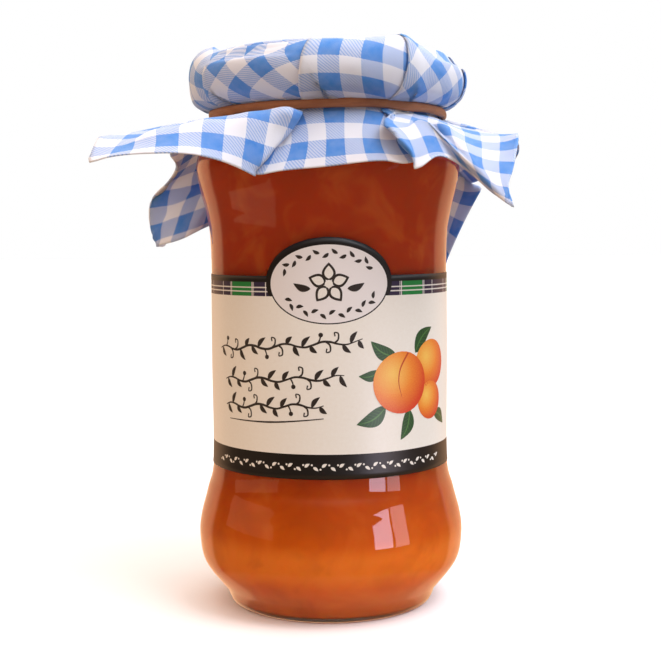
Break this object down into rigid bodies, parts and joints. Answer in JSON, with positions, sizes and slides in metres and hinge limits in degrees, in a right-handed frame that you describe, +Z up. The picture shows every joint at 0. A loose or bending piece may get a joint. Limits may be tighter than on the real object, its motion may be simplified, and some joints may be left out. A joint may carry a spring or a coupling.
{
  "type": "jam jar",
  "caption": "Waisted glass jar filled with stone-fruit jam, with a wrapped paper label and a square gingham cloth tied over its twist lid.",
  "frame": {"origin": "middle of the jar's foot, on its axis and on the surface it stands on", "axes": "+Z up along the jar's axis, -Y towards the front of the label, +X to the label's right as it is read"},
  "size_m": [0.1042, 0.0923, 0.1421],
  "materials": {
    "glass": "clear, gloss",
    "jam": "set jam, moist and translucent, stood in for by gloss plastic",
    "lid": "gold lacquer",
    "paper": "coated label paper, satin",
    "elastic": "brown covered elastic",
    "cloth": "blue and white gingham cotton"
  },
  "bodies": {
    "root": {"glass_jar": "glass", "jam": "jam", "lid": "lid", "label": "paper", "elastic_band": "elastic", "cloth_cover": "cloth"}
  },
  "joints": []
}
